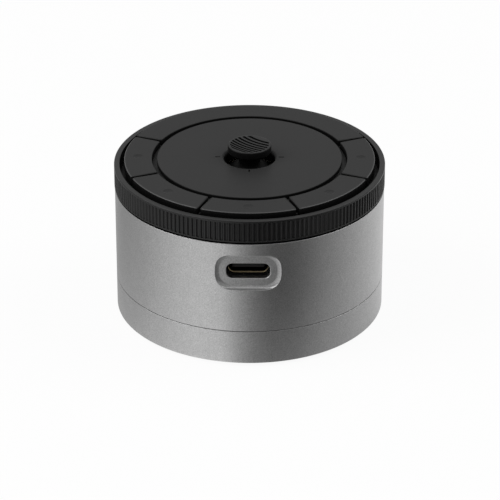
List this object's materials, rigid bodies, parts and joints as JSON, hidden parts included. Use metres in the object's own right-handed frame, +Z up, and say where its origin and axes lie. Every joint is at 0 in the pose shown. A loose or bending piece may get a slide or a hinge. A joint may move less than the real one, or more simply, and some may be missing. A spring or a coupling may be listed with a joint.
{
  "type": "desk control dial with keys and a small stick",
  "caption": "Round desk dial: aluminium drum with a USB-C port, a knurled ring that turns, arc-shaped keys inside it and a small ribbed stick in the middle.",
  "frame": {"origin": "on the desk, under the centre of the drum", "axes": "+Z up along the dial's axis; the port faces -Y; +X is to the right, seen from the port side"},
  "size_m": [0.058, 0.058, 0.038],
  "materials": {
    "bead_blasted_aluminium": "bead blasted, satin",
    "black_anodised": "black, fine satin",
    "black_plastic": "fine satin texture",
    "dark_dome_plastic": "half gloss",
    "foot_rubber": "matt",
    "ballast_steel": "zinc plated",
    "screw_steel": "plated",
    "spring_steel": "bright",
    "port_steel": "drawn, nickel plated",
    "port_insulator": "moulded",
    "contact_gold": "gold plated",
    "board_laminate": "solder mask",
    "chip_plastic": "moulded",
    "passive_ceramic": "ceramic",
    "connector_plastic": "moulded",
    "ribbon_film": "film",
    "glide_plastic": "slippery",
    "frame_plastic": "moulded",
    "pole_magnet": "bonded magnet",
    "switch_plastic": "moulded",
    "plunger_plastic": "moulded"
  },
  "bodies": {
    "housing": {"base_cup": "bead_blasted_aluminium", "foot_pad": "foot_rubber", "ballast_weight": "ballast_steel", "body_shell": "bead_blasted_aluminium", "base_screws": "screw_steel", "port_shell": "port_steel", "port_tongue": "port_insulator", "port_contacts": "contact_gold", "main_board": "board_laminate", "board_screws": "screw_steel", "controller_chip": "chip_plastic", "board_passives": "passive_ceramic", "board_connector": "connector_plastic", "deck_connector": "connector_plastic", "ribbon_cable": "ribbon_film", "glide_ring": "glide_plastic", "deck_frame": "frame_plastic", "deck_screws": "screw_steel", "deck_board": "board_laminate", "dial_sensors": "chip_plastic", "key_switches": "switch_plastic", "rear_cover": "black_plastic", "key_retainer": "black_plastic", "centre_disc": "black_plastic", "stick_base": "frame_plastic", "stick_housing": "spring_steel", "press_switch": "switch_plastic", "snap_dome": "spring_steel", "centring_spring": "spring_steel"},
    "dial": {"dial_ring": "black_anodised", "dial_carrier": "frame_plastic", "pole_ring": "pole_magnet"},
    "yoke": {"stick_yoke": "frame_plastic"},
    "stick": {"stick_carrier": "frame_plastic"},
    "stick_top": {"stick_shaft": "screw_steel", "shaft_clip": "spring_steel", "stick_dome": "dark_dome_plastic", "stick_cap": "black_plastic"},
    "left_key": {"key_left": "black_plastic", "plunger_left": "plunger_plastic"},
    "front_left_key": {"key_front_left": "black_plastic", "plunger_front_left": "plunger_plastic"},
    "front_key": {"key_front": "black_plastic", "plunger_front": "plunger_plastic"},
    "front_right_key": {"key_front_right": "black_plastic", "plunger_front_right": "plunger_plastic"},
    "right_key": {"key_right": "black_plastic", "plunger_right": "plunger_plastic"}
  },
  "joints": [
    {"name": "dial_turn", "type": "hinge", "parent": "housing", "child": "dial", "pos_m": [0, 0, 0.03], "axis": [0, 0, 1], "continuous": true},
    {"name": "key_left_press", "type": "slide", "parent": "housing", "child": "left_key", "axis": [0, 0, -1], "range_m": [0, 0.00035], "stiffness_N_per_m": 1500, "springref_m": -0.0007},
    {"name": "key_front_left_press", "type": "slide", "parent": "housing", "child": "front_left_key", "axis": [0, 0, -1], "range_m": [0, 0.00035], "stiffness_N_per_m": 1500, "springref_m": -0.0007},
    {"name": "key_front_press", "type": "slide", "parent": "housing", "child": "front_key", "axis": [0, 0, -1], "range_m": [0, 0.00035], "stiffness_N_per_m": 1500, "springref_m": -0.0007},
    {"name": "key_front_right_press", "type": "slide", "parent": "housing", "child": "front_right_key", "axis": [0, 0, -1], "range_m": [0, 0.00035], "stiffness_N_per_m": 1500, "springref_m": -0.0007},
    {"name": "key_right_press", "type": "slide", "parent": "housing", "child": "right_key", "axis": [0, 0, -1], "range_m": [0, 0.00035], "stiffness_N_per_m": 1500, "springref_m": -0.0007},
    {"name": "stick_tilt_front_back", "type": "hinge", "parent": "housing", "child": "yoke", "pos_m": [0, 0, 0.028], "axis": [1, 0, 0], "range_deg": [-6, 6], "stiffness_Nm_per_rad": 0.02, "deforming": ["centring_spring"]},
    {"name": "stick_tilt_left_right", "type": "hinge", "parent": "yoke", "child": "stick", "pos_m": [0, 0, 0.028], "axis": [0, 1, 0], "range_deg": [-6, 6], "stiffness_Nm_per_rad": 0.02},
    {"name": "stick_press", "type": "slide", "parent": "stick", "child": "stick_top", "axis": [0, 0, -1], "range_m": [0, 0.00025], "stiffness_N_per_m": 3000, "springref_m": -0.0004, "deforming": ["snap_dome"]}
  ]
}
